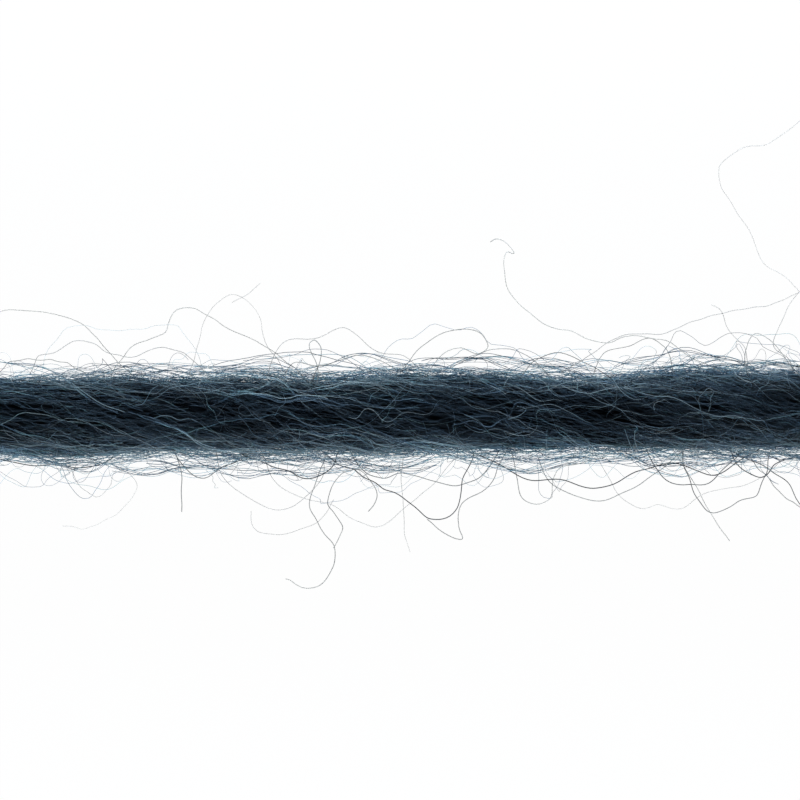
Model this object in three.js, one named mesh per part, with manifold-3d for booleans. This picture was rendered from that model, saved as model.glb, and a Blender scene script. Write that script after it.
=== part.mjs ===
// A cut length of single-ply knitting yarn: one soft strand of wool fibres with a light right-handed twist.
// It lies straight on a surface, where its own weight presses a flat underside.
// Millimetres. X runs along the strand, Z is up, and the origin is in the middle of the flat underside.
import * as THREE from "three";
import { mergeVertices } from "three/addons/utils/BufferGeometryUtils.js";
import Module from "manifold-3d";

// The strand
const LENGTH = 36;
const DIAMETER = 3.0;
const AXIS_HEIGHT = 1.28; // less than the radius, so the strand stands on a flat strip
const TWIST_PITCH = 30; // length of one full turn of the fibres
const LEAN = 0.01; // sideways drift of the axis for each millimetre along it
const SWAY = { reach: 0.04, length: 9 };
const THICK_THIN = [
  { share: 0.03, length: 13, start: 1.0 },
  { share: 0.02, length: 5.1, start: 2.2 },
];
// Locks of fibres stand a little proud and run round with the twist. The drift lets each set cross the rest.
const LOCKS = [
  { count: 4, height: 0.055, drift: 0.25 },
  { count: 7, height: 0.045, drift: -0.4 },
  { count: 11, height: 0.035, drift: 0.3 },
];
const CUT = { rounding: 0.5, narrowing: 0.08, unevenness: 0.12, waves: 3 }; // each end, as scissors leave it
const STEPS_ALONG = 60;
const STEPS_ROUND = 36;

// Stray fibres
const FIBRE = 0.07; // thickness of a stray fibre, drawn as a pair that clings together
const FIBRE_SIDES = 3;
const ROOT_DEPTH = 0.25; // how far a stray fibre's root lies inside the strand
const LOWEST = 0.04; // a stray fibre's middle line lies no lower than this above the surface

// Low loops that leave the skin and go back into it, all over the strand but for its underside
const LOOPS = { count: 44, shortest: 1.6, longest: 4.6, lowest: 0.15, highest: 1.1 };
const LOOP_STEPS = 7;
const LOOP_MARGIN = 0.5; // the loops keep this far from each cut
const LOOP_ANGLES = { from: -0.12, round: 1.24 }; // in half turns, from just below the axis on the far side
// Along its span, which runs from -1 to 1, a loop stands at these shares of its height.
const LOOP_ARCH = [
  { along: -1, rooted: true },
  { along: -0.55, share: 0.7 },
  { along: 0, share: 1 },
  { along: 0.5, share: 0.75 },
  { along: 1, rooted: true },
];

// Fibre ends that stand out of each cut. Inner and outer are shares of the strand's radius.
const FRAYS = { count: 11, shortest: 0.35, longest: 1.3, splay: 0.35, inner: 0.25, outer: 0.9 };
const FRAY_STEPS = 4;
const FRAY_ROOT = 0.6; // how far inside the cut a frayed end starts
const FRAY_CLEAR = 0.1; // how far past the cut it has left the uneven face behind

// The longest stray fibres, as seen from above. Each leaves the strand at out and is farthest from its axis
// at far, by reach. It then goes back in at back, or ends free at its tip. Height is that of its far stretch.
const STRAYS = [
  { side: 1, out: -16.6, far: -13.4, reach: 3.6, back: -9.5, height: 2.1 },
  { side: 1, out: -11.6, far: -7.6, reach: 3.7, back: -3.3, height: 2.8 },
  { side: 1, out: -7.4, far: -5.8, reach: 4.2, back: -3.9, height: 0.9 },
  { side: 1, out: -4.7, far: -2.2, reach: 3.0, back: 0.9, height: 2.2 },
  { side: 1, out: -0.1, far: 2.2, reach: 3.0, back: 3.3, height: 2.5 },
  { side: 1, out: 11.2, far: 5.0, reach: 3.2, tip: { x: 3.3, reach: 6.0 }, height: 2.6 },
  { side: 1, out: 5.9, far: 14.4, reach: 4.5, back: 16.3, height: 1.2 },
  { side: 1, out: 14.8, far: 11.3, reach: 8.3, tip: { x: 14.0, reach: 10.3 }, height: 1.8 },
  { side: 1, out: 13.6, far: 13.0, reach: 2.9, tip: { x: 13.9, reach: 4.3 }, height: 1.0 },
  { side: 1, out: 12.2, far: 12.6, reach: 2.9, back: 14.2, height: 2.3 },
  { side: -1, out: -11.5, far: -9.6, reach: 3.0, tip: { x: -11.8, reach: 3.9 }, height: 0.4 },
  { side: -1, out: -7.9, far: -7.7, reach: 2.3, tip: { x: -7.7, reach: 3.4 }, height: 1.8 },
  { side: -1, out: -6.6, far: -4.0, reach: 3.3, back: -2.4, height: 0.5 },
  { side: -1, out: -6.4, far: -4.3, reach: 4.2, tip: { x: -2.8, reach: 3.6 }, height: 1.1 },
  { side: -1, out: -2.5, far: -2.3, reach: 5.3, tip: { x: -4.1, reach: 5.9 }, height: 1.3 },
  { side: -1, out: -0.9, far: -2.3, reach: 3.0, tip: { x: -2.4, reach: 4.5 }, height: 2.0 },
  { side: -1, out: -4.7, far: -1.0, reach: 3.9, back: 0.6, height: 0.4 },
  { side: -1, out: -1.8, far: 1.3, reach: 3.6, back: 2.6, height: 2.2 },
  { side: -1, out: 2.3, far: 2.1, reach: 3.9, tip: { x: 1.0, reach: 4.0 }, height: 1.0 },
  { side: -1, out: 0.1, far: 0.1, reach: 3.2, tip: { x: 0.4, reach: 4.8 }, height: 0.4 },
  { side: -1, out: 3.9, far: 4.9, reach: 3.1, back: 6.5, height: 0.8 },
  { side: -1, out: 4.6, far: 7.0, reach: 3.0, back: 9.4, height: 0.6 },
  { side: -1, out: 6.8, far: 9.8, reach: 3.3, back: 13.2, height: 0.3 },
  { side: -1, out: 9.9, far: 11.3, reach: 3.4, back: 13.3, height: 1.0 },
  { side: -1, out: 9.6, far: 10.6, reach: 2.9, tip: { x: 11.5, reach: 4.4 }, height: 0.8 },
  { side: -1, out: 11.8, far: 13.3, reach: 2.9, tip: { x: 15.0, reach: 4.2 }, height: 0.5 },
];
const STRAY_ROOT = 1.2; // a long stray starts this far from the axis, inside the strand
const STRAY_STEPS = 12;
// A long stray bends over a shoulder on its way out and over another on its way back. Out and back are how
// far along to the next point the shoulder stands. Reach and rise are the shares of both done by then.
const SHOULDER = { out: 0.45, back: 0.6, reach: 0.7, rise: 0.6 };

const TURN = 2 * Math.PI;
const RADIUS = DIAMETER / 2;
const GOLDEN = 0.618034; // a spacing that never falls into step

const { lerp } = THREE.MathUtils;
const wasm = await Module();
wasm.setup();

// How far round the fibres have turned at a place along the strand. It grows with X in a right-handed twist.
function twistAt(x) {
  return (TURN * x) / TWIST_PITCH;
}

// A number from 0 to 1 for the fibre with this number. Each series spreads the fibres in another order.
function spread(number, series) {
  return (number * GOLDEN * series) % 1;
}

function axisAt(x) {
  return LEAN * x + SWAY.reach * Math.sin((TURN * x) / SWAY.length);
}

// Radius of the strand at a place along it and an angle round it, with its locks and thick and thin stretches
function radiusAt(x, angle) {
  const untwisted = angle - twistAt(x);
  const swell = THICK_THIN.reduce((sum, w) => sum + w.share * Math.sin((TURN * x) / w.length + w.start), 1);
  const lock = LOCKS.reduce((sum, l) => sum + l.height * Math.cos(l.count * untwisted + l.drift * x), 0);
  return RADIUS * swell + lock;
}

// A point of the strand's skin, or inside it, pressed flat where it meets the surface
function skinPoint(x, angle, share = 1, proud = 0) {
  const radius = radiusAt(x, angle) * share + proud;
  const height = AXIS_HEIGHT + radius * Math.sin(angle);
  return new THREE.Vector3(x, axisAt(x) + radius * Math.cos(angle), Math.max(0, height));
}

function solidOf(geometry) {
  geometry.deleteAttribute("normal");
  geometry.deleteAttribute("uv");
  const merged = mergeVertices(geometry);
  return new wasm.Manifold(
    new wasm.Mesh({
      numProp: 3,
      vertProperties: merged.attributes.position.array,
      triVerts: new Uint32Array(merged.index.array),
    }),
  );
}

function geometryOf(solid) {
  const mesh = solid.getMesh();
  return new THREE.BufferGeometry()
    .setAttribute("position", new THREE.BufferAttribute(mesh.vertProperties, 3))
    .setIndex(new THREE.BufferAttribute(mesh.triVerts, 1));
}

// The strand's body: rings of skin points from one cut end to the other, and a fan of faces over each cut
function bodyGeometry() {
  const points = [];
  const faces = [];
  for (let i = 0; i <= STEPS_ALONG; i++) {
    const x = LENGTH * (i / STEPS_ALONG - 0.5);
    const toEnd = LENGTH / 2 - Math.abs(x);
    const share = 1 - CUT.narrowing * Math.max(0, 1 - toEnd / CUT.rounding);
    for (let j = 0; j < STEPS_ROUND; j++) {
      const angle = (TURN * j) / STEPS_ROUND;
      const point = skinPoint(x, angle, share);
      if (i === 0 || i === STEPS_ALONG) point.x += CUT.unevenness * Math.cos(CUT.waves * angle + x);
      points.push(...point.toArray());
      if (i === STEPS_ALONG) continue;
      const next = (j + 1) % STEPS_ROUND;
      const [a, b] = [i * STEPS_ROUND + j, i * STEPS_ROUND + next];
      const [c, d] = [a + STEPS_ROUND, b + STEPS_ROUND];
      faces.push(a, b, c, b, d, c);
    }
  }
  for (const side of [0, STEPS_ALONG]) {
    const x = LENGTH * (side / STEPS_ALONG - 0.5);
    const middle = points.length / 3;
    points.push(x, axisAt(x), AXIS_HEIGHT);
    for (let j = 0; j < STEPS_ROUND; j++) {
      const rim = [side * STEPS_ROUND + j, side * STEPS_ROUND + ((j + 1) % STEPS_ROUND)];
      faces.push(middle, ...(side === 0 ? rim.reverse() : rim));
    }
  }
  return new THREE.BufferGeometry()
    .setAttribute("position", new THREE.Float32BufferAttribute(points, 3))
    .setIndex(faces);
}

// A thin three-sided strand along a smooth curve through the given points
function fibreSolid(points, steps) {
  const section = new THREE.Shape();
  for (let k = 0; k < FIBRE_SIDES; k++) {
    const angle = (TURN * k) / FIBRE_SIDES;
    const corner = [(FIBRE / 2) * Math.cos(angle), (FIBRE / 2) * Math.sin(angle)];
    section[k === 0 ? "moveTo" : "lineTo"](...corner);
  }
  const path = new THREE.CatmullRomCurve3(points, false, "centripetal");
  return solidOf(new THREE.ExtrudeGeometry(section, { steps, bevelEnabled: false, extrudePath: path }));
}

// One of the long stray fibres. It climbs or sinks from the axis height to the height of its far stretch.
function straySolid(stray) {
  const shoulder = { reach: lerp(STRAY_ROOT, stray.reach, SHOULDER.reach), rise: SHOULDER.rise };
  const route = [
    { x: stray.out, reach: STRAY_ROOT, rise: 0 },
    { x: lerp(stray.out, stray.far, SHOULDER.out), ...shoulder },
    { x: stray.far, reach: stray.reach, rise: 1 },
  ];
  if (stray.tip) {
    route.push({ ...stray.tip, rise: 1 });
  } else {
    route.push({ x: lerp(stray.far, stray.back, SHOULDER.back), ...shoulder });
    route.push({ x: stray.back, reach: STRAY_ROOT, rise: 0 });
  }
  const points = route.map(({ x, reach, rise }) => {
    const height = lerp(AXIS_HEIGHT, stray.height, rise);
    return new THREE.Vector3(x, axisAt(x) + stray.side * reach, Math.max(LOWEST, height));
  });
  return fibreSolid(points, STRAY_STEPS);
}

// A low loop that leaves the skin and goes back into it, drawn out along the twist
function loopSolid(i) {
  const span = lerp(LOOPS.shortest, LOOPS.longest, spread(i, 3));
  const proud = lerp(LOOPS.lowest, LOOPS.highest, spread(i, 5) ** 2);
  const middle = (LENGTH - LOOPS.longest - 2 * LOOP_MARGIN) * ((i + 0.5) / LOOPS.count - 0.5);
  const angle = Math.PI * (LOOP_ANGLES.from + LOOP_ANGLES.round * spread(i, 1));
  const points = LOOP_ARCH.map(({ along, rooted, share }) => {
    const x = middle + (along * span) / 2;
    const lift = rooted ? -ROOT_DEPTH : proud * share;
    const point = skinPoint(x, angle + twistAt(x) - twistAt(middle), 1, lift);
    point.z = Math.max(LOWEST, point.z);
    return point;
  });
  return fibreSolid(points, LOOP_STEPS);
}

// Ends of fibres that stand out of a cut, splayed a little
function fraySolid(i, side) {
  const angle = TURN * spread(i, 1);
  const share = lerp(FRAYS.inner, FRAYS.outer, Math.sqrt((i + 0.5) / FRAYS.count));
  const out = lerp(FRAYS.shortest, FRAYS.longest, spread(i, 4));
  const points = [-FRAY_ROOT, FRAY_CLEAR, FRAY_CLEAR + out / 2, FRAY_CLEAR + out].map((past) => {
    const x = side * (LENGTH / 2 + past);
    const point = skinPoint(x, angle + twistAt(x), share, Math.max(0, past) * FRAYS.splay * share);
    point.z = Math.max(LOWEST, point.z);
    return point;
  });
  return fibreSolid(points, FRAY_STEPS);
}

function yarnMesh() {
  let solid = solidOf(bodyGeometry());
  for (const stray of STRAYS) solid = solid.add(straySolid(stray));
  for (let i = 0; i < LOOPS.count; i++) solid = solid.add(loopSolid(i));
  for (let i = 0; i < FRAYS.count; i++) solid = solid.add(fraySolid(i, -1)).add(fraySolid(i, 1));
  const wool = new THREE.MeshStandardMaterial({ color: 0x1d2c3a, roughness: 0.85, metalness: 0 });
  const mesh = new THREE.Mesh(geometryOf(solid), wool);
  mesh.name = "yarn_strand";
  return mesh;
}

const yarn = new THREE.Group();
yarn.add(yarnMesh());
export default yarn;
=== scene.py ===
# A cut length of single-ply knitting yarn in dark navy wool, lying straight on a white table. The core and
# every fibre round it are modelled here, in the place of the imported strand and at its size.
import math

import bpy
import numpy as np
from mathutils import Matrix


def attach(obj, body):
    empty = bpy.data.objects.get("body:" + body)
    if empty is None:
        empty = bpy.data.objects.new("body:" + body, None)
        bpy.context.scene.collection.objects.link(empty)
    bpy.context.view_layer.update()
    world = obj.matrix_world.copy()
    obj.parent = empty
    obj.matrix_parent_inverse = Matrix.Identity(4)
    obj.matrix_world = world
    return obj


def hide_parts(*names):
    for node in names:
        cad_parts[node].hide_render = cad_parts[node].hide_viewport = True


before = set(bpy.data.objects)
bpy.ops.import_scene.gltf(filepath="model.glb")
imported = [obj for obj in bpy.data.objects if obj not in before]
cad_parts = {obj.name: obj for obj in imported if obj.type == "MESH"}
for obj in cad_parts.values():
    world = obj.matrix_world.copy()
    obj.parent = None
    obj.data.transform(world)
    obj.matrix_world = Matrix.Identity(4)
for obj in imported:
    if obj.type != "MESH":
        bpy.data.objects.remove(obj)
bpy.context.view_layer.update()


# The view
# A close-up camera hangs straight above the strand and takes in 28 mm of its length. A long lens keeps the
# sight lines almost upright, so a hair that stands up hardly shifts in the picture.
MM = 0.001
PIXEL = 0.035 * MM  # what one pixel of the photo covers at the strand's axis
PHOTO_SIDE = 800
AXIS_ROW = 414  # the photo's row along which the strand's axis runs
AXIS_HEIGHT = 1.28 * MM
LENS, SENSOR = 100, 36

camera_data = bpy.data.cameras.new("close_up")
camera_data.lens = LENS
camera_data.sensor_width = SENSOR
camera_data.clip_start = 1 * MM
camera_data.clip_end = 10
camera = bpy.data.objects.new("close_up", camera_data)
bpy.context.scene.collection.objects.link(camera)
camera_rise = PHOTO_SIDE * PIXEL * LENS / SENSOR  # from the axis up to the lens
camera.location = (0, (AXIS_ROW - PHOTO_SIDE / 2) * PIXEL, AXIS_HEIGHT + camera_rise)
bpy.context.scene.camera = camera


def place_seen(column, row, height):
    """The place at this height above the surface that shows at a column and row of the photo."""
    nearer = (camera_rise + AXIS_HEIGHT - height) / camera_rise
    middle = PHOTO_SIDE / 2
    return np.stack(
        [
            (column - middle) * PIXEL * nearer,
            camera.location.y - (row - middle) * PIXEL * nearer,
            height,
        ],
        axis=-1,
    )


# The core of the strand
# The inside of the yarn is packed so close that it shows as one dark mass between the outer fibres. It is one
# solid with a right-handed twist, locks that stand proud, thick and thin stretches, and a cut at each end.
CUT_LENGTH = 36 * MM
TWIST_PITCH = 30 * MM
CORE_RADIUS = 1.11 * MM
CORE_LOWEST = 0.02 * MM  # the core stays this far above the table
CORE_STEPS_ALONG, CORE_STEPS_ROUND = 180, 48
STREAK_STRETCH = 14  # the core's streaks are this many times as long as they are wide
FIBRE = 0.023 * MM  # the usual thickness of a fibre
LEAN = 0.008  # how much the axis climbs toward the right end, as the camera sees it
SWAY = {"reach": 0.04 * MM, "length": 9 * MM}
THICK_THIN = [
    {"share": 0.03, "length": 13 * MM, "start": 1.0},
    {"share": 0.02, "length": 5.1 * MM, "start": 2.2},
]
# count is how many locks of a kind lie side by side round the strand, and drift is how much they slide round
# it on top of the twist, in radians for each metre.
LOCKS = [
    {"count": 4, "height": 0.05 * MM, "drift": 250},
    {"count": 7, "height": 0.045 * MM, "drift": -400},
    {"count": 11, "height": 0.035 * MM, "drift": 300},
]
NAVY_DEEP = (0.0056, 0.0074, 0.0096, 1)
NAVY = (0.016, 0.0208, 0.0276, 1)
STEEL_BLUE = (0.05, 0.085, 0.125, 1)
BODY_COLOURS = (NAVY_DEEP, NAVY, STEEL_BLUE)
SHINE = (0.55, 0.76, 1, 1)  # the tint of the fibres' faint shine
GLOW_DEPTH = 12 * FIBRE  # how far light goes into the wool
CLEARNESS = (0.4, 0.7, 1)  # how far red, green and blue light goes in, as shares of that depth
TURN = 2 * math.pi


def axis_across(x):
    return LEAN * x + SWAY["reach"] * np.sin(TURN * x / SWAY["length"])


def twist_at(x):
    return TURN * x / TWIST_PITCH


def swell_at(x):
    """How thick the strand is at a place along it, as a share of its usual thickness."""
    return 1 + sum(wave["share"] * np.sin(TURN * x / wave["length"] + wave["start"]) for wave in THICK_THIN)


def locks_at(x, angle):
    """How far the locks of fibres stand proud at a place along the strand and an angle round it."""
    return sum(
        lock["height"] * np.cos(lock["count"] * (angle - twist_at(x)) + lock["drift"] * x) for lock in LOCKS
    )


def strand_point(x, angle, radius, lowest=0.0):
    """Places at a radius from the strand's axis, pressed up where they would sink into the surface."""
    across = axis_across(x) + radius * np.cos(angle)
    height = np.maximum(AXIS_HEIGHT + radius * np.sin(angle), lowest)
    return np.stack([x + 0 * across, across, height], axis=-1)


def new_group(name, inputs, outputs):
    """An empty shader node group with its sockets, and its two end nodes."""
    group = bpy.data.node_groups.new(name, "ShaderNodeTree")
    for direction, sockets in (("INPUT", inputs), ("OUTPUT", outputs)):
        for socket_name, (kind, value) in sockets.items():
            kind = "NodeSocket" + kind
            socket = group.interface.new_socket(socket_name, in_out=direction, socket_type=kind)
            if value is not None:
                socket.default_value = value
    return group, group.nodes.new("NodeGroupInput"), group.nodes.new("NodeGroupOutput")


def dye_and_painted_light_group():
    """Wool colour from deep to pale by tone, in uneven patches, and how high each patch is. The tone is the
    dye's, and on some pieces it also holds painted light and shade.
    """
    group, given, gives = new_group(
        "Dye and painted light",
        {
            "Place": ("Vector", None),
            "Tone": ("Float", 0.5),
            "Patches": ("Float", 900.0),
            "Unevenness": ("Float", 0.3),
            "Deep": ("Color", None),
            "Usual": ("Color", None),
            "Pale": ("Color", None),
        },
        {"Color": ("Color", None), "Height": ("Float", None)},
    )
    nodes, link = group.nodes, group.links.new
    patches = nodes.new("ShaderNodeTexNoise")
    patches.inputs["Detail"].default_value = 4
    link(given.outputs["Place"], patches.inputs["Vector"])
    link(given.outputs["Patches"], patches.inputs["Scale"])
    shift = nodes.new("ShaderNodeMath")
    shift.operation = "MULTIPLY_ADD"
    centred = nodes.new("ShaderNodeMath")
    centred.operation = "SUBTRACT"
    centred.inputs[1].default_value = 0.5
    link(patches.outputs["Fac"], centred.inputs[0])
    link(centred.outputs[0], shift.inputs[0])
    link(given.outputs["Unevenness"], shift.inputs[1])
    link(given.outputs["Tone"], shift.inputs[2])
    lower = nodes.new("ShaderNodeMapRange")
    lower.inputs["From Max"].default_value = 0.5
    link(shift.outputs[0], lower.inputs["Value"])
    upper = nodes.new("ShaderNodeMapRange")
    upper.inputs["From Min"].default_value = 0.5
    link(shift.outputs[0], upper.inputs["Value"])
    first = nodes.new("ShaderNodeMix")
    first.data_type = "RGBA"
    link(lower.outputs[0], first.inputs["Factor"])
    link(given.outputs["Deep"], first.inputs["A"])
    link(given.outputs["Usual"], first.inputs["B"])
    second = nodes.new("ShaderNodeMix")
    second.data_type = "RGBA"
    link(upper.outputs[0], second.inputs["Factor"])
    link(first.outputs["Result"], second.inputs["A"])
    link(given.outputs["Pale"], second.inputs["B"])
    link(second.outputs["Result"], gives.inputs["Color"])
    link(patches.outputs["Fac"], gives.inputs["Height"])
    return group


DYE_AND_PAINTED_LIGHT = dye_and_painted_light_group()


def wool_material(
    name,
    colours,
    unevenness,
    roughness,
    patches=900,
    tone=None,
    place_map=None,
    glow=0.0,
    clearness=CLEARNESS,
):
    """Matt dyed wool in three colours from deep to pale. The tone that picks between them comes from the
    fibre's tone attribute, which holds its own tone and, on some pieces, painted light and shade, or is one
    number for the whole piece. patches is how many patches lie in a metre, glow is how much light goes into
    the wool, and clearness is how far its red, green and blue go."""
    material = bpy.data.materials.new(name)
    material.use_nodes = True
    nodes, link = material.node_tree.nodes, material.node_tree.links.new
    shader = nodes["Principled BSDF"]
    shader.inputs["Roughness"].default_value = roughness
    shader.inputs["Specular IOR Level"].default_value = 0.15
    shader.inputs["Specular Tint"].default_value = SHINE
    shader.inputs["Subsurface Weight"].default_value = glow
    shader.inputs["Subsurface Radius"].default_value = clearness
    shader.inputs["Subsurface Scale"].default_value = GLOW_DEPTH
    wool = nodes.new("ShaderNodeGroup")
    wool.node_tree = DYE_AND_PAINTED_LIGHT
    for socket_name, colour in zip(("Deep", "Usual", "Pale"), colours):
        wool.inputs[socket_name].default_value = colour
    wool.inputs["Unevenness"].default_value = unevenness
    wool.inputs["Patches"].default_value = patches
    if place_map:
        place = nodes.new("ShaderNodeUVMap")
        place.uv_map = place_map
        link(place.outputs["UV"], wool.inputs["Place"])
    else:
        place = nodes.new("ShaderNodeTexCoord")
        link(place.outputs["Object"], wool.inputs["Place"])
    if tone is None:
        own_tone = nodes.new("ShaderNodeAttribute")
        own_tone.attribute_name = "tone"
        link(own_tone.outputs["Fac"], wool.inputs["Tone"])
    else:
        wool.inputs["Tone"].default_value = tone
    bump = nodes.new("ShaderNodeBump")
    bump.inputs["Distance"].default_value = 0.004 * MM
    bump.inputs["Strength"].default_value = 0.5
    link(wool.outputs["Color"], shader.inputs["Base Color"])
    link(wool.outputs["Height"], bump.inputs["Height"])
    link(bump.outputs["Normal"], shader.inputs["Normal"])
    return material


def core_mesh():
    """Rings of points from cut to cut, with a fan of faces over each cut. The map runs with the twist."""
    along = np.linspace(-CUT_LENGTH / 2, CUT_LENGTH / 2, CORE_STEPS_ALONG + 1)
    angle = np.arange(CORE_STEPS_ROUND) * TURN / CORE_STEPS_ROUND
    x, around = np.meshgrid(along, angle, indexing="ij")
    rings = strand_point(x, around, CORE_RADIUS * swell_at(x) + locks_at(x, around), lowest=CORE_LOWEST)
    middles = strand_point(along[[0, -1]], 0 * along[[0, -1]], 0)
    points = np.concatenate([rings.reshape(-1, 3), middles])
    step, side = np.meshgrid(range(CORE_STEPS_ALONG), range(CORE_STEPS_ROUND), indexing="ij")
    this, after = step * CORE_STEPS_ROUND + side, step * CORE_STEPS_ROUND + (side + 1) % CORE_STEPS_ROUND
    walls = np.stack([this, after, after + CORE_STEPS_ROUND, this + CORE_STEPS_ROUND], -1).reshape(-1, 4)
    last = CORE_STEPS_ALONG * CORE_STEPS_ROUND
    left_cut = np.stack([np.full(CORE_STEPS_ROUND, len(points) - 2), after[0], this[0]], -1)
    right_cut = np.stack([np.full(CORE_STEPS_ROUND, len(points) - 1), last + this[0], last + after[0]], -1)
    mesh = bpy.data.meshes.new("yarn_core")
    mesh.from_pydata(points.tolist(), [], walls.tolist() + left_cut.tolist() + right_cut.tolist())
    run = along[step[..., None] + [0, 0, 1, 1]]
    round_it = (side[..., None] + [0, 1, 1, 0]) * TURN / CORE_STEPS_ROUND - twist_at(run)
    lay = np.stack([run / STREAK_STRETCH, round_it * CORE_RADIUS], -1).reshape(-1, 2)
    ends = np.zeros((6 * CORE_STEPS_ROUND, 2))
    mesh.uv_layers.new(name="Lay").uv.foreach_set("vector", np.concatenate([lay, ends]).ravel())
    mesh.shade_smooth()
    return mesh


core = bpy.data.objects.new("yarn_core", core_mesh())
bpy.context.scene.collection.objects.link(core)
core_wool = wool_material(
    "core wool", BODY_COLOURS, unevenness=0.7, roughness=0.9, patches=9000, tone=0.25, place_map="Lay"
)
core.data.materials.append(core_wool)
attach(core, "root")
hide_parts("yarn_strand")


# The fibres that lie along the strand
# Fine wool fibres, crimped and dyed, are laid side by side and turned lightly together. Each shows for up to a
# centimetre, rises and sinks between its neighbours, and a few cross the rest at a steeper angle.
TUBE_SIDES = 3
SLANT = (0.31, 0.47, 0.83)  # no fibre starts out in this direction, and its first side is square to it
MAP_COLUMNS = 4  # each fibre has its own place on the piece's map, and the places stand in this many columns
STRIP = {"start": 0.04, "length": 0.9, "low": 0.15, "height": 0.7}  # a fibre's walls, as shares of its place
CAPS = {"starts": (0.01, 0.95), "along": (0, 0.02, 0.01), "up": (0.2, 0.2, 0.8)}  # its two ends, beside them


def fibre_object(name, routes, thickness, tone, material):
    """One mesh of closed three-sided fibres. routes and tone hold a place and a number for each point of each
    fibre, and thickness holds one number for each fibre."""
    count, steps = routes.shape[:2]
    tangent = np.gradient(routes, axis=1)
    tangent /= np.linalg.norm(tangent, axis=2, keepdims=True)
    side = np.cross(tangent[:, 0], SLANT)
    sides = np.empty_like(routes)
    for step in range(steps):
        side = side - (side * tangent[:, step]).sum(1, keepdims=True) * tangent[:, step]
        side /= np.linalg.norm(side, axis=1, keepdims=True)
        sides[:, step] = side
    other = np.cross(tangent, sides)
    turn = np.arange(TUBE_SIDES) * TURN / TUBE_SIDES
    off_axis = sides[:, :, None] * np.cos(turn)[:, None] + other[:, :, None] * np.sin(turn)[:, None]
    points = routes[:, :, None] + np.reshape(thickness, (-1, 1, 1, 1)) / 2 * off_axis

    fibre, step, corner = np.meshgrid(range(count), range(steps - 1), range(TUBE_SIDES), indexing="ij")
    after = (corner + 1) % TUBE_SIDES
    start = (fibre * steps + step) * TUBE_SIDES
    end = start + TUBE_SIDES
    walls = np.stack([start + corner, start + after, end + after, end + corner], -1)
    first = np.arange(count)[:, None] * steps * TUBE_SIDES
    caps = np.concatenate([first + [0, 2, 1], first + (steps - 1) * TUBE_SIDES + [0, 1, 2]])
    corners = np.concatenate([walls.ravel(), caps.ravel()])
    sizes = np.concatenate([np.full(walls.size // 4, 4), np.full(len(caps), 3)])

    rows = -(-count // MAP_COLUMNS)
    column, row = fibre % MAP_COLUMNS, fibre // MAP_COLUMNS
    along = STRIP["length"] * (step[..., None] + [0, 0, 1, 1]) / (steps - 1)
    up = STRIP["height"] * (corner[..., None] + [0, 1, 1, 0]) / TUBE_SIDES
    u = (column[..., None] + STRIP["start"] + along) / MAP_COLUMNS
    v = (row[..., None] + STRIP["low"] + up) / rows
    cap_fibre = np.concatenate([np.arange(count)] * 2)[:, None]
    cap_along = np.repeat(CAPS["starts"], count)[:, None] + CAPS["along"]
    cap_u = (cap_fibre % MAP_COLUMNS + cap_along) / MAP_COLUMNS
    cap_v = (cap_fibre // MAP_COLUMNS + np.array(CAPS["up"])) / rows
    wall_places = np.stack([u, v], -1).reshape(-1, 2)
    cap_places = np.stack([cap_u, cap_v], -1).reshape(-1, 2)

    mesh = bpy.data.meshes.new(name)
    mesh.vertices.add(points.size // 3)
    mesh.vertices.foreach_set("co", points.ravel())
    mesh.loops.add(len(corners))
    mesh.loops.foreach_set("vertex_index", corners)
    mesh.polygons.add(len(sizes))
    mesh.polygons.foreach_set("loop_start", np.cumsum(sizes) - sizes)
    places = np.concatenate([wall_places, cap_places])
    mesh.uv_layers.new(name="OFBake").uv.foreach_set("vector", places.ravel())
    mesh.attributes.new("tone", "FLOAT", "POINT").data.foreach_set("value", np.repeat(tone, TUBE_SIDES))
    mesh.update(calc_edges=True)
    mesh.shade_smooth()
    mesh.materials.append(material)
    piece = bpy.data.objects.new(name, mesh)
    bpy.context.scene.collection.objects.link(piece)
    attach(piece, "root")


OWN_WAVES = {"length": (0.7, 1.4), "size": (0.4, 1.6)}  # a fibre's own waves, as shares of the usual ones


def waves(rng, count, along, lengths, sizes):
    """A smooth wander for each fibre: waves of about these lengths and sizes, each started at random."""
    wander = 0
    for length, size in zip(lengths, sizes):
        own_length = length * rng.uniform(*OWN_WAVES["length"], (count, 1))
        own_size = size * rng.uniform(*OWN_WAVES["size"], (count, 1))
        wander = wander + own_size * np.sin(TURN * (along / own_length + rng.random((count, 1))))
    return wander


# Painted light and shade: the white table's light gets in where the strand is thin, so the fibres' colour is
# painted paler near both sides and darker along the middle. This is how much paler a fibre is painted at a
# distance from the strand's middle line.
PAINTED_EDGE_LIGHT = [
    {"across": 0.3 * MM, "paler": -0.18},
    {"across": 1.2 * MM, "paler": 0.35},
    {"across": 1.4 * MM, "paler": 0.35},
    {"across": 1.9 * MM, "paler": 0},
]


def tone_with_painted_edge_light(own_tone, routes):
    """A tone for every point: the fibre's own, with painted light near the strand's sides and painted shade
    along its middle, as the table above says.
    """
    across = np.abs(routes[..., 1] - axis_across(routes[..., 0]))
    paler = np.interp(across, [row["across"] for row in PAINTED_EDGE_LIGHT], [row["paler"] for row in PAINTED_EDGE_LIGHT])
    return own_tone[:, None] + paler


YARN_DIAMETER = 3 * MM
YARN_RADIUS = YARN_DIAMETER / 2
CUT_UNEVENNESS = 0.12 * MM
LEAST_LENGTH = 1 * MM  # a fibre that the cuts leave shorter than this is left out
CRIMP_LENGTHS = np.array([5, 2.2, 1.0]) * MM
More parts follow.
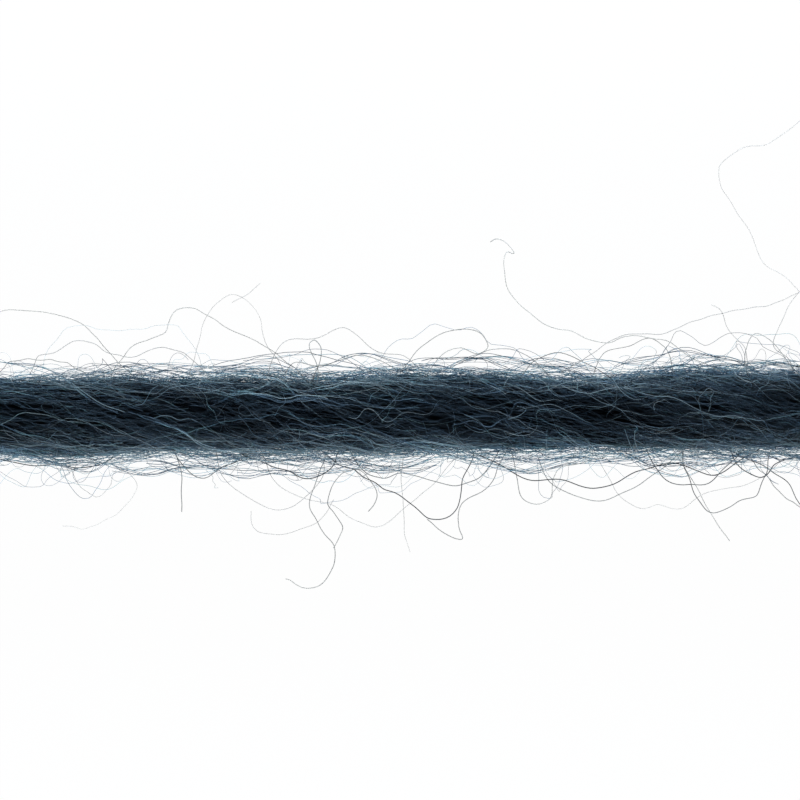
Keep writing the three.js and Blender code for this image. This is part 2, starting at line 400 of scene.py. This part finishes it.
# depth is how deep the lowest fibres lie, and raised is how far above that the others lie on average. turning
# is a fibre's share of the twist. Most fibres differ from it by the first spread, and some by the second.
# wander and rise are the sizes of the crimp round the strand (radians) and in and out (metres).
LYING = {
    "count": 2800,
    "steps": 24,
    "length": (4 * MM, 9 * MM),
    "depth": 0.41 * MM,
    "raised": 0.09 * MM,
    "turning": 0.65,
    "spreads": (0.3, 1.3),
    "spread_shares": (0.8, 0.2),
    "wander": (0.08, 0.05, 0.022),
    "rise": np.array([0.04, 0.03, 0.015]) * MM,
    "lowest": (0.015, 0.09),  # each fibre stays at least this far above the table, in mm
    "own_tone": (0.55, 1.6),
    "thick": (0.8, 1.15),
}


def lying_routes(rng, count):
    """Fibres laid along the strand, each cut off where it would reach past the ends."""
    depth = LYING["depth"] - rng.exponential(LYING["raised"], (count, 1))
    spread = rng.choice(LYING["spreads"], (count, 1), p=LYING["spread_shares"])
    turning = rng.normal(LYING["turning"], spread)
    shortest, longest = LYING["length"]
    length = rng.uniform(shortest, longest, (count, 1))
    middle = rng.uniform(-CUT_LENGTH / 2 - shortest, CUT_LENGTH / 2 + shortest, (count, 1))
    cut = CUT_LENGTH / 2 + rng.uniform(-1, 1, (2, count, 1)) * CUT_UNEVENNESS
    low, high = np.maximum(middle - length / 2, -cut[0]), np.minimum(middle + length / 2, cut[1])
    kept = (high - low)[:, 0] > LEAST_LENGTH
    low, high, depth, turning = low[kept], high[kept], depth[kept], turning[kept]
    count = len(low)
    x = low + (high - low) * np.linspace(0, 1, LYING["steps"])
    angle = rng.uniform(0, TURN, (count, 1)) + turning * twist_at(x - (low + high) / 2)
    angle = angle + twist_at((low + high) / 2) + waves(rng, count, x, CRIMP_LENGTHS, LYING["wander"])
    radius = YARN_RADIUS * swell_at(x) + locks_at(x, angle) - depth
    radius = radius + waves(rng, count, x, CRIMP_LENGTHS, LYING["rise"])
    return strand_point(x, angle, radius, lowest=rng.uniform(*LYING["lowest"], (count, 1)) * MM)


lying_wool = wool_material("lying wool", BODY_COLOURS, unevenness=0.4, roughness=0.5, glow=1)
rng = np.random.default_rng(7)
for part in (1, 2):
    routes = lying_routes(rng, LYING["count"] // 2)
    # Each fibre's own tone, with painted light at the strand's sides and painted shade along the middle.
    tone = tone_with_painted_edge_light(rng.beta(*LYING["own_tone"], len(routes)), routes)
    thickness = FIBRE * rng.uniform(*LYING["thick"], len(routes))
    fibre_object(f"lying_fibres_{part}", routes, thickness, tone, lying_wool)


# The cut ends
# At each end the yarn is snipped straight across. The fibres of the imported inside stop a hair's breadth
# apart, so the cut shows as a dark brush of short ends.
CUT_BRUSH = {
    "count": 1100,
    "steps": 5,
    "area": (0.001, 1),  # where on the cut the fibres lie, from its middle to its edge, as shares of its area
    "rooted": 0.7 * MM,
    "stands_out": (0.02, 0.16),
    "fans_out": 0.03,
    "lowest": 0.03 * MM,
    "own_tone": (0.9, 2.6),
    "thick": (1.1, 1.9),
}


def brush_routes(rng, end):
    """Short fibre ends spread evenly over the cut at this end of the strand, -1 or 1."""
    count, steps = CUT_BRUSH["count"], CUT_BRUSH["steps"]
    angle = rng.uniform(0, TURN, (count, 1))
    radius = CORE_RADIUS * np.sqrt(rng.uniform(*CUT_BRUSH["area"], (count, 1)))
    tip = CUT_LENGTH / 2 + rng.uniform(*CUT_BRUSH["stands_out"], (count, 1)) * MM
    root = CUT_LENGTH / 2 - CUT_BRUSH["rooted"]
    x = end * (root + (tip - root) * np.linspace(0, 1, steps))
    fanned = radius * (1 + rng.normal(0, CUT_BRUSH["fans_out"], (count, 1)) * np.linspace(0, 1, steps))
    return strand_point(x, angle + twist_at(x), fanned, lowest=CUT_BRUSH["lowest"])


rng = np.random.default_rng(11)
routes = np.concatenate([brush_routes(rng, -1), brush_routes(rng, 1)])
# Each fibre's own tone, with painted light at the strand's sides and painted shade along the middle.
tone = tone_with_painted_edge_light(rng.beta(*CUT_BRUSH["own_tone"], len(routes)), routes)
thickness = FIBRE * rng.uniform(*CUT_BRUSH["thick"], len(routes))
fibre_object("cut_ends", routes, thickness, tone, lying_wool)


# The loose web on the outside
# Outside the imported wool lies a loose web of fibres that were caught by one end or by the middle. They bow
# out from the strand, curl, and wander across the twist, so both edges of the yarn look soft and let the
# light through.
PALE_BLUE = (0.095, 0.175, 0.27, 1)
LOOSE_COLOURS = (NAVY_DEEP, NAVY, PALE_BLUE)
# In each row, together is how many fibres share a route. length and sunk are in mm, and sunk is how deep
# under the yarn's outside a fibre starts. leave is how steeply it points outward there, curl is how far its
# heading swings, and drift is its heading round the strand and how much that differs (radians). thick is a
# share of a fibre's thickness. lopsided is how strongly the row favours the side toward -Y, and sideways is
# how strongly it favours both sides over the top and the underside, as the web spreads out flat on the table.
CURLING = [
    {"name": "skin_curls", "count": 80, "together": 1, "steps": 36, "length": (2, 6), "sunk": (0.12, 0.35),
     "leave": 0.18, "curl": 1.5, "drift": (0.25, 0.65), "thick": 0.54, "own_tone": (2.4, 1.7), "lopsided": 0,
     "sideways": 0, "seed": 20},
    {"name": "web_near", "count": 1300, "together": 1, "steps": 24, "length": (2.5, 7), "sunk": (0.2, 0.4),
     "leave": 0.22, "curl": 0.5, "drift": (0.08, 0.22), "thick": 0.7, "own_tone": (0.5, 1.2), "lopsided": 0,
     "sideways": 0, "seed": 21},
    {"name": "web_edge", "count": 600, "together": 3, "steps": 24, "length": (3.5, 9.5), "sunk": (0.12, 0.35),
     "leave": 0.38, "curl": 0.45, "drift": (0.05, 0.18), "thick": 0.95, "own_tone": (0.6, 1.0), "lopsided": 0,
     "sideways": 0.32, "seed": 24},
    {"name": "web_far", "count": 70, "together": 1, "steps": 44, "length": (4, 10), "sunk": (0.1, 0.3),
     "leave": 0.7, "curl": 1.05, "drift": (0.05, 0.3), "thick": 0.72, "own_tone": (1.3, 0.9), "lopsided": 0.4,
     "sideways": 0.15, "seed": 22},
    {"name": "fuzz", "count": 280, "together": 1, "steps": 26, "length": (1.2, 4), "sunk": (0.05, 0.35),
     "leave": 0.9, "curl": 1.7, "drift": (0.1, 0.35), "thick": 0.65, "own_tone": (1.2, 1.0), "lopsided": 0.45,
     "sideways": 0.45, "seed": 23},
]
# The web's fibres lie over this length of the strand and crowd together in places along it.
WEB_LENGTH = CUT_LENGTH - 1 * MM
GATHERED = {"shift": 0.8 * MM, "length": 15.7 * MM, "start": 5.0}
WEB_TWIST = 0.5  # the web's share of the twist
WEB_LOWEST = (0.015, 0.4)  # each fibre stays at least this far above the table, in mm
# Each fibre's own leave and thickness are shares of its row's. settle is how steeply it points outward at its
# end, as a share of its own leave.
OWN_SHARES = {"leave": (0.2, 1.2), "settle": (-1.3, -0.7), "thick": (0.8, 1.1)}
# A curl is three waves, which swing a fibre's heading outward and around by these radians where curl is 1.
CURL = {
    "lengths": np.array([5, 2.2, 0.9]) * MM,
    "outward": np.array([0.3, 0.3, 0.1]),
    "around": np.array([0.5, 0.45, 0.25]),
}


def curling_routes(rng, row):
    """Fibres that set off along the skin of the strand and curl, as a row of CURLING says."""
    count, steps = row["count"] // row["together"], row["steps"]
    leave = row["leave"] * rng.uniform(*OWN_SHARES["leave"], (count, 1))
    start = rng.uniform(0, TURN, (count, 1))
    start = start + row["lopsided"] * np.sin(start) - row["sideways"] * np.sin(2 * start)
    length = rng.uniform(*row["length"], (count, 1)) * MM
    sunk = rng.uniform(*row["sunk"], (count, 1)) * MM
    settle = leave * rng.uniform(*OWN_SHARES["settle"], (count, 1))
    drift = rng.normal(*row["drift"], (count, 1))
    direction = rng.choice([-1, 1], (count, 1))
    along = np.linspace(0, 1, steps) * length
    climb = leave + (settle - leave) * along / length
    climb = climb + waves(rng, count, along, CURL["lengths"], CURL["outward"] * row["curl"])
    veer = drift + waves(rng, count, along, CURL["lengths"], CURL["around"] * row["curl"])
    step = length / (steps - 1)
    off_skin = np.cumsum(np.sin(climb) * step, axis=1)
    run = direction * np.cumsum(np.cos(climb) * np.cos(veer) * step, axis=1)
    middle = rng.uniform(-0.5, 0.5, (count, 1)) * WEB_LENGTH
    middle = middle + GATHERED["shift"] * np.sin(TURN * middle / GATHERED["length"] + GATHERED["start"])
    x = middle + run - run.mean(1, keepdims=True)
    radius = np.maximum(YARN_RADIUS * swell_at(x) - sunk + off_skin, CORE_RADIUS)
    around = direction * np.cumsum(np.cos(climb) * np.sin(veer) * step / radius, axis=1)
    angle = start + around + WEB_TWIST * twist_at(run)
    inside = np.abs(x).max(1) < CUT_LENGTH / 2
    lowest = rng.uniform(*WEB_LOWEST, (count, 1)) * MM
    return strand_point(x, angle, radius, lowest)[inside]


def run_along(routes):
    """How far each point of each route is from the route's first point, measured along it."""
    return np.linalg.norm(np.diff(routes, axis=1, prepend=routes[:, :1]), axis=2).cumsum(axis=1)


# uneven is how far from a route's two ends its fibres may start and stop, as a share of the route.
TUFT = {"uneven": 0.3, "lengths": np.array([6, 2.5]) * MM, "spread": np.array([0.08, 0.03]) * MM}


def in_tufts(rng, routes, together):
    """Each route is taken by a few fibres, which start and stop at different places and keep close by."""
    steps = routes.shape[1]
    routes = np.repeat(routes, together, axis=0)
    count = len(routes)
    first, last = rng.uniform(0, TUFT["uneven"], (count, 1)), 1 - rng.uniform(0, TUFT["uneven"], (count, 1))
    place = (first + (last - first) * np.linspace(0, 1, steps)) * (steps - 1)
    before = np.minimum(place.astype(int), steps - 2)
    share = (place - before)[..., None]
    fibre = np.arange(count)[:, None]
    routes = routes[fibre, before] * (1 - share) + routes[fibre, before + 1] * share
    for axis in (1, 2):
        routes[..., axis] += waves(rng, count, run_along(routes), TUFT["lengths"], TUFT["spread"])
    routes[..., 2] = np.maximum(routes[..., 2], FIBRE)
    return routes


loose_wool = wool_material("loose wool", LOOSE_COLOURS, unevenness=0.3, roughness=0.5, glow=1)
for row in CURLING:
    rng = np.random.default_rng(row["seed"])
    routes = curling_routes(rng, row)
    if row["together"] > 1:
        routes = in_tufts(rng, routes, row["together"])
    # Each fibre's own tone, with painted light at the strand's sides and painted shade along the middle.
    tone = tone_with_painted_edge_light(rng.beta(*row["own_tone"], len(routes)), routes)
    thickness = FIBRE * row["thick"] * rng.uniform(*OWN_SHARES["thick"], len(routes))
    fibre_object(row["name"], routes, thickness, tone, loose_wool)


# The long stray hairs
# Some forty longer hairs stand well clear of the strand. Some bow out and come back, and some end free. Each
# is placed where the photo shows it, by a few points in the photo's pixels from one end to the other. heights
# are in mm at the first point, halfway, and at the last point.
STRAY_STEPS = 72
STRAYS = [
    # Above the strand, from left to right
    {"heights": (1.4, 1.5, 1.4), "tone": 0.5,
     "route": [(-40, 382), (-20, 330), (0, 312), (15, 310), (64, 317), (78, 322), (111, 354), (140, 382)]},
    {"heights": (1.4, 1.0, 1.4), "tone": 0.5,
     "route": [(-8, 380), (13, 362), (51, 360), (66, 364), (95, 378)]},
    {"heights": (1.4, 0.9, 1.4), "tone": 0.6,
     "route": [(30, 374), (38, 356), (55, 353), (72, 342), (83, 340), (111, 354), (139, 356), (153, 348),
               (181, 352), (208, 374)]},
    {"heights": (1.5, 2.4, 1.5), "tone": 0.5,
     "route": [(110, 376), (135, 345), (168, 329), (173, 313), (181, 308), (204, 313), (230, 329), (265, 346),
               (306, 378)]},
    {"heights": (1.6, 0.7, 1.4), "tone": 0.8,
     "route": [(190, 375), (199, 339), (209, 313), (217, 301), (235, 295), (261, 321), (264, 338),
               (286, 372)]},
    {"heights": (0.8, 0.6, 0.4), "tone": 0.8, "route": [(232, 302), (250, 292), (260, 283)]},
    {"heights": (1.5, 2.0, 1.6), "tone": 0.6,
     "route": [(266, 378), (275, 351), (287, 342), (312, 338), (340, 328), (382, 352), (400, 355),
               (420, 368)]},
    {"heights": (1.5, 1.8, 1.5), "tone": 0.5,
     "route": [(283, 376), (293, 364), (318, 365), (367, 356), (410, 376)]},
    {"heights": (1.8, 2.6, 1.8), "tone": 0.35,
     "route": [(318, 380), (315, 362), (311, 346), (315, 341), (319, 347), (319, 363), (311, 384)]},
    {"heights": (1.6, 2.4, 1.6), "tone": 0.45,
     "route": [(396, 378), (415, 353), (451, 331), (469, 329), (482, 335), (488, 346), (479, 354), (461, 348),
               (437, 359), (425, 378)]},
    {"heights": (1.5, 1.0, 1.5), "tone": 0.55,
     "route": [(436, 374), (472, 357), (504, 348), (515, 350), (552, 378)]},
    {"heights": (1.6, 2.0, 1.6), "tone": 0.35,
     "route": [(518, 378), (535, 361), (557, 353), (571, 356), (612, 378)]},
    {"heights": (3.4, 2.4, 1.5), "tone": 0.5,
     "route": [(489, 243), (498, 240), (510, 245), (515, 252), (508, 251), (503, 259), (516, 299), (530, 315),
               (573, 333), (613, 342), (635, 335), (686, 353), (725, 376)]},
    {"heights": (1.5, 1.2, 0.6), "tone": 0.7,
     "route": [(560, 374), (609, 343), (637, 333), (663, 333), (714, 314), (744, 310), (788, 298),
               (850, 276)]},
    {"heights": (1.6, 1.9, 1.6), "tone": 0.5,
     "route": [(592, 378), (605, 352), (629, 346), (643, 339), (651, 338), (664, 346), (674, 378)]},
    {"heights": (0.9, 1.2, 1.5), "tone": 0.7,
     "route": [(712, 306), (721, 311), (726, 326), (745, 350), (750, 374)]},
    {"heights": (1.7, 2.3, 1.8), "tone": 0.4,
     "route": [(747, 380), (746, 350), (757, 334), (767, 339), (782, 355), (806, 380)]},
    {"heights": (0.8, 1.1, 1.4), "tone": 0.6,
     "route": [(799, 292), (778, 328), (772, 343), (790, 361), (796, 380)]},
    {"heights": (2.2, 1.4, 0.8), "tone": 0.6,
     "route": [(812, 112), (790, 128), (770, 143), (735, 152), (720, 165), (722, 185), (757, 245), (763, 264),
               (780, 274), (800, 290)]},
    # Below the strand, from left to right
    {"heights": (1.4, 0.8, 1.4), "tone": 0.0,
     "route": [(-14, 452), (20, 464), (65, 466), (88, 467), (130, 450)]},
    {"heights": (1.0, 0.5, 0.2), "tone": 0.85,
     "route": [(66, 455), (84, 489), (98, 496), (110, 487), (115, 474), (125, 470), (135, 479), (127, 505),
               (102, 521), (84, 530), (62, 525)]},
    {"heights": (1.4, 0.7, 1.4), "tone": 0.2,
     "route": [(172, 450), (183, 465), (202, 478), (225, 466), (262, 450)]},
    {"heights": (1.2, 1.6, 1.9), "tone": 0.25, "route": [(176, 448), (180, 474), (182, 512)]},
    {"heights": (1.1, 0.4, 1.1), "tone": 0.7,
     "route": [(214, 452), (225, 478), (252, 500), (273, 510), (307, 496), (321, 479), (326, 455)]},
    {"heights": (1.5, 1.9, 1.5), "tone": 0.0,
     "route": [(238, 452), (282, 470), (311, 478), (332, 467), (340, 450)]},
    {"heights": (1.2, 1.6, 0.7), "tone": 0.35,
     "route": [(326, 452), (312, 510), (319, 525), (333, 547), (334, 561), (326, 580), (310, 588),
               (284, 580)]},
    {"heights": (0.9, 1.9, 1.5), "tone": 0.35,
     "route": [(333, 547), (342, 530), (328, 501), (336, 478), (355, 470), (373, 486), (377, 495),
               (369, 510)]},
    {"heights": (0.6, 1.0, 1.3), "tone": 0.8,
     "route": [(250, 512), (252, 525), (276, 535), (319, 519), (334, 500)]},
    {"heights": (1.0, 0.3, 0.8), "tone": 0.75,
     "route": [(262, 455), (274, 479), (298, 496), (332, 506), (361, 522), (375, 527), (409, 503), (433, 486),
               (456, 455)]},
    {"heights": (1.5, 2.2, 1.5), "tone": 0.0,
     "route": [(322, 452), (333, 461), (355, 469), (377, 486), (406, 500), (427, 516), (440, 519), (455, 511),
               (463, 481), (474, 450)]},
    {"heights": (1.4, 1.0, 1.4), "tone": 0.2,
     "route": [(350, 450), (369, 476), (383, 479), (400, 472), (429, 481), (462, 484), (480, 479),
               (498, 450)]},
    {"heights": (1.3, 1.0, 0.6), "tone": 0.25,
     "route": [(508, 450), (480, 494), (461, 505), (457, 516), (463, 539), (443, 534), (428, 519)]},
    {"heights": (1.0, 0.5, 0.2), "tone": 0.8, "route": [(403, 455), (405, 532), (411, 552)]},
    {"heights": (1.5, 1.8, 1.5), "tone": 0.0,
     "route": [(470, 450), (495, 463), (521, 477), (562, 481), (597, 488), (612, 485), (640, 470), (677, 464),
               (711, 475), (736, 465), (758, 448)]},
    {"heights": (1.4, 0.8, 1.3), "tone": 0.4,
     "route": [(512, 450), (516, 478), (523, 497), (538, 504), (549, 497), (554, 479), (562, 468), (577, 464),
               (606, 456)]},
    {"heights": (1.2, 0.7, 1.2), "tone": 0.35,
     "route": [(536, 455), (556, 487), (576, 497), (607, 499), (640, 484), (682, 452)]},
    {"heights": (1.0, 0.3, 1.0), "tone": 0.85,
     "route": [(594, 452), (630, 504), (645, 509), (658, 505), (678, 509), (701, 495), (748, 484),
               (790, 455)]},
    {"heights": (1.5, 0.9, 1.5), "tone": 0.1,
     "route": [(646, 450), (665, 478), (681, 485), (700, 485), (745, 448)]},
    {"heights": (1.4, 0.9, 1.5), "tone": 0.15,
     "route": [(683, 450), (691, 488), (714, 512), (738, 501), (757, 496), (763, 478), (772, 450)]},
    {"heights": (1.1, 0.8, 0.4), "tone": 0.5, "route": [(674, 450), (701, 496), (729, 542)]},
    {"heights": (1.5, 1.1, 1.4), "tone": 0.0,
     "route": [(729, 448), (738, 464), (763, 475), (774, 465), (812, 458)]},
    {"heights": (1.2, 0.6, 0.2), "tone": 0.35, "route": [(748, 452), (766, 478), (791, 501), (828, 520)]},
    {"heights": (1.4, 1.0, 0.5), "tone": 0.1,
     "route": [(736, 452), (771, 472), (791, 484), (796, 500), (812, 524)]},
]
STRAY_CRIMP = {"lengths": np.array([2.4, 1.0]) * MM, "sizes": np.array([0.035, 0.015]) * MM}
STRAY_THICK = {"darkest": 1.75, "paler_by": 0.7}  # in fibre thicknesses, as pale hairs are thinner
# Alone over the white table these hairs look grey, and more light comes through them than through the rest.
GREY_COLOURS = ((0.008, 0.0085, 0.009, 1), (0.04, 0.041, 0.04, 1), (0.3, 0.31, 0.3, 1))
GREY_CLEARNESS = (1.7, 1.85, 1.9)


def smooth_route(points, steps):
    """A smooth curve through the points, as this many points evenly spaced along it."""
    gaps = np.linalg.norm(np.diff(points, axis=0), axis=1)
    places = np.concatenate([[0], np.cumsum(gaps)])
    slopes = np.gradient(points, places, axis=0)
    along = np.linspace(0, places[-1], steps)
    before = np.clip(np.searchsorted(places, along) - 1, 0, len(gaps) - 1)
    gap = gaps[before][:, None]
    share = (along - places[before])[:, None] / gap
    rest = 1 - share
    after = before + 1
    near = (1 + 2 * share) * rest**2 * points[before] + share * rest**2 * gap * slopes[before]
    return near + share**2 * (3 - 2 * share) * points[after] + share**2 * (share - 1) * gap * slopes[after]


rng = np.random.default_rng(5)
stray_routes = []
for stray in STRAYS:
    column, row = np.array(stray["route"], float).T
    height = np.interp(np.linspace(0, 1, len(row)), (0, 0.5, 1), np.array(stray["heights"]) * MM)
    stray_routes.append(smooth_route(place_seen(column, row, height), STRAY_STEPS))
stray_routes = np.array(stray_routes)
run = run_along(stray_routes)
for axis in range(3):
    stray_routes[..., axis] += waves(rng, len(STRAYS), run, STRAY_CRIMP["lengths"], STRAY_CRIMP["sizes"])
stray_routes[..., 2] = np.maximum(stray_routes[..., 2], FIBRE)
stray_tone = np.array([[stray["tone"]] * STRAY_STEPS for stray in STRAYS])
stray_thickness = FIBRE * (STRAY_THICK["darkest"] - STRAY_THICK["paler_by"] * stray_tone[:, 0])
stray_wool = wool_material(
    "stray wool", GREY_COLOURS, unevenness=0.1, roughness=0.5, glow=1, clearness=GREY_CLEARNESS
)
fibre_object("stray_hairs", stray_routes, stray_thickness, stray_tone, stray_wool)


# The pale hairs across the front
# A few dozen fine hairs lie loose on top of the strand. Their pale colour is painted light: it stands for the
# light that picks them out against the dark wool. Each follows the roundness of the strand, and is placed
# by a few points in the photo's pixels.
TOP_STEPS = 48
TOP_THICKNESS = 1.05 * FIBRE
TOP_RADIUS = 1.42 * MM  # how far from the strand's axis these hairs lie
TOP_HAIRS = [
    {"tone": 0.6, "route": [(-6, 388), (8, 392), (42, 399), (89, 414), (110, 425), (122, 433), (143, 434)]},
    {"tone": 0.9, "route": [(15, 431), (25, 434), (36, 439), (45, 440), (51, 434), (57, 430), (66, 434),
                            (77, 433)]},
    {"tone": 0.7, "route": [(51, 436), (64, 437), (74, 440), (83, 447), (91, 450)]},
    {"tone": 0.6, "route": [(52, 416), (54, 407), (47, 402), (42, 404), (43, 409), (51, 415), (66, 421),
                            (102, 424)]},
    {"tone": 0.7, "route": [(60, 381), (69, 385), (80, 388), (92, 386), (102, 380)]},
    {"tone": 0.9, "route": [(135, 406), (143, 405), (149, 398), (152, 389), (160, 383), (175, 385),
                            (185, 392), (200, 395), (213, 392), (228, 388), (241, 390), (257, 394),
                            (269, 389), (292, 379)]},
    {"tone": 0.8, "route": [(150, 419), (161, 415), (170, 416), (180, 420), (191, 418), (200, 422),
                            (210, 432), (223, 435), (238, 437), (247, 433)]},
    {"tone": 0.5, "route": [(108, 398), (120, 402), (133, 409), (143, 413)]},
    {"tone": 0.8, "route": [(252, 415), (247, 417), (240, 415), (239, 409), (243, 405), (249, 407),
                            (254, 413), (262, 421), (270, 424)]},
    {"tone": 0.9, "route": [(240, 415), (248, 427), (253, 434), (264, 439), (277, 444), (289, 448)]},
    {"tone": 0.7, "route": [(276, 417), (279, 409), (284, 402), (282, 393)]},
    {"tone": 0.8, "route": [(297, 402), (308, 402), (320, 399), (328, 393), (331, 386), (329, 379)]},
    {"tone": 0.9, "route": [(406, 384), (396, 397), (385, 410), (376, 419), (363, 426), (350, 427),
                            (340, 430), (331, 432), (317, 429), (306, 426)]},
    {"tone": 0.7, "route": [(347, 429), (343, 434), (344, 441), (349, 444), (356, 441), (368, 431)]},
    {"tone": 0.7, "route": [(288, 425), (293, 430), (302, 434), (310, 430)]},
    {"tone": 0.7, "route": [(345, 399), (352, 397), (365, 404), (379, 409), (391, 408), (404, 413)]},
    {"tone": 1.0, "route": [(396, 400), (406, 393), (409, 386), (405, 380)]},
    {"tone": 0.7, "route": [(413, 387), (423, 390), (431, 396), (437, 402)]},
    {"tone": 0.7, "route": [(445, 403), (455, 399), (464, 399), (471, 405), (487, 409), (499, 404),
                            (517, 400), (533, 405), (547, 411), (561, 409), (579, 405), (600, 407)]},
    {"tone": 0.9, "route": [(517, 407), (527, 411), (522, 415), (508, 419)]},
    {"tone": 0.7, "route": [(446, 424), (448, 430), (450, 436), (459, 444)]},
    {"tone": 0.6, "route": [(423, 422), (424, 430), (426, 438)]},
    {"tone": 0.9, "route": [(464, 425), (479, 431), (492, 429), (502, 431), (508, 438), (513, 448)]},
    {"tone": 0.7, "route": [(464, 415), (482, 423), (494, 435), (502, 438), (515, 434), (530, 432)]},
    {"tone": 0.7, "route": [(530, 435), (543, 439), (559, 441), (571, 448), (583, 456)]},
    {"tone": 0.7, "route": [(561, 378), (571, 387), (585, 393), (600, 402), (613, 407), (632, 419),
                            (643, 424), (655, 427), (684, 430)]},
    {"tone": 0.7, "route": [(598, 408), (609, 405), (618, 399), (628, 396)]},
    {"tone": 0.8, "route": [(650, 398), (661, 395), (676, 393), (688, 395), (697, 402), (702, 415),
                            (715, 428)]},
    {"tone": 0.7, "route": [(702, 414), (703, 425), (702, 443)]},
    {"tone": 0.6, "route": [(692, 390), (708, 398), (721, 404), (738, 412), (751, 415)]},
    {"tone": 1.0, "route": [(698, 412), (711, 415), (728, 418), (740, 420), (753, 427), (767, 431)]},
    {"tone": 0.9, "route": [(754, 415), (762, 420), (768, 428), (782, 436), (806, 450)]},
    {"tone": 0.8, "route": [(719, 434), (730, 429), (739, 420), (745, 416)]},
    {"tone": 0.7, "route": [(706, 407), (715, 402), (734, 402)]},
    {"tone": 0.8, "route": [(742, 385), (748, 379), (752, 371)]},
]


def place_on_top(column, row):
    """The place at TOP_RADIUS from the strand's axis that shows at a column and row of the photo."""
    height = AXIS_HEIGHT + TOP_RADIUS + 0 * row
    for _ in range(3):  # the place moves with the height, and a few rounds settle both
        place = place_seen(column, row, height)
        across = place[..., 1] - axis_across(place[..., 0])
        height = AXIS_HEIGHT + np.sqrt(np.maximum(TOP_RADIUS**2 - across**2, 0))
    return place


rng = np.random.default_rng(6)
top_seen = np.array([smooth_route(np.array(hair["route"], float), TOP_STEPS) for hair in TOP_HAIRS])
top_routes = place_on_top(top_seen[..., 0], top_seen[..., 1])
run = run_along(top_routes)
for axis in range(3):
    top_routes[..., axis] += waves(rng, len(TOP_HAIRS), run, STRAY_CRIMP["lengths"], STRAY_CRIMP["sizes"])
# These hairs' high tones are painted light, which makes them pale against the dark wool.
top_tone = np.array([[hair["tone"]] * TOP_STEPS for hair in TOP_HAIRS])
fibre_object("top_hairs", top_routes, np.full(len(TOP_HAIRS), TOP_THICKNESS), top_tone, loose_wool)


# The table and the light
# The strand lies on a white surface that glows as evenly as a light table. A wide soft lamp stands along each
# side of it, and neither lamp shows.
FLOOR_SIDE = 20
floor_mesh = bpy.data.meshes.new("floor")
half = FLOOR_SIDE / 2
floor_corners = [(-half, -half, 0), (half, -half, 0), (half, half, 0), (-half, half, 0)]
floor_mesh.from_pydata(floor_corners, [], [(0, 1, 2, 3)])
floor = bpy.data.objects.new("floor", floor_mesh)
bpy.context.scene.collection.objects.link(floor)
floor_white = bpy.data.materials.new("white table")
floor_white.use_nodes = True
table_shader = floor_white.node_tree.nodes["Principled BSDF"]
table_shader.inputs["Base Color"].default_value = (0.08, 0.08, 0.08, 1)
table_shader.inputs["Roughness"].default_value = 0.9
table_shader.inputs["Emission Color"].default_value = (1, 1, 1, 1)
table_shader.inputs["Emission Strength"].default_value = 0.98
floor_mesh.materials.append(floor_white)

# The room gives a faint bluish light, and where the camera sees past the table it is white.
world = bpy.data.worlds.new("studio")
world.use_nodes = True
nodes, link = world.node_tree.nodes, world.node_tree.links.new
dim_room = nodes["Background"]
dim_room.inputs["Color"].default_value = (0.8, 0.9, 1, 1)
dim_room.inputs["Strength"].default_value = 0.03
white_wall = nodes.new("ShaderNodeBackground")
white_wall.inputs["Color"].default_value = (1, 1, 1, 1)
seen = nodes.new("ShaderNodeLightPath")
either = nodes.new("ShaderNodeMixShader")
link(seen.outputs["Is Camera Ray"], either.inputs["Fac"])
link(dim_room.outputs["Background"], either.inputs[1])
link(white_wall.outputs["Background"], either.inputs[2])
link(either.outputs["Shader"], nodes["World Output"].inputs["Surface"])
bpy.context.scene.world = world
bpy.context.scene.view_settings.view_transform = "Standard"

# place and size are in mm. Each lamp is turned to face the strand.
LAMPS = [
    {"name": "upper_lamp", "place": (0, 80, 19), "size": (100, 26), "power": 0.044,
     "colour": (0.74, 0.88, 1)},
    {"name": "lower_lamp", "place": (0, -80, 16), "size": (100, 26), "power": 0.031,
     "colour": (0.85, 0.93, 1)},
]
for lamp in LAMPS:
    light = bpy.data.lights.new(lamp["name"], "AREA")
    light.shape = "RECTANGLE"
    light.size, light.size_y = (side * MM for side in lamp["size"])
    light.energy = lamp["power"]
    light.color = lamp["colour"]
    holder = bpy.data.objects.new(lamp["name"], light)
    bpy.context.scene.collection.objects.link(holder)
    x, y, z = (place * MM for place in lamp["place"])
    holder.location = (x, y, z)
    holder.rotation_euler = (math.copysign(math.atan2(abs(y), z), -y), 0, 0)
    holder.visible_camera = False
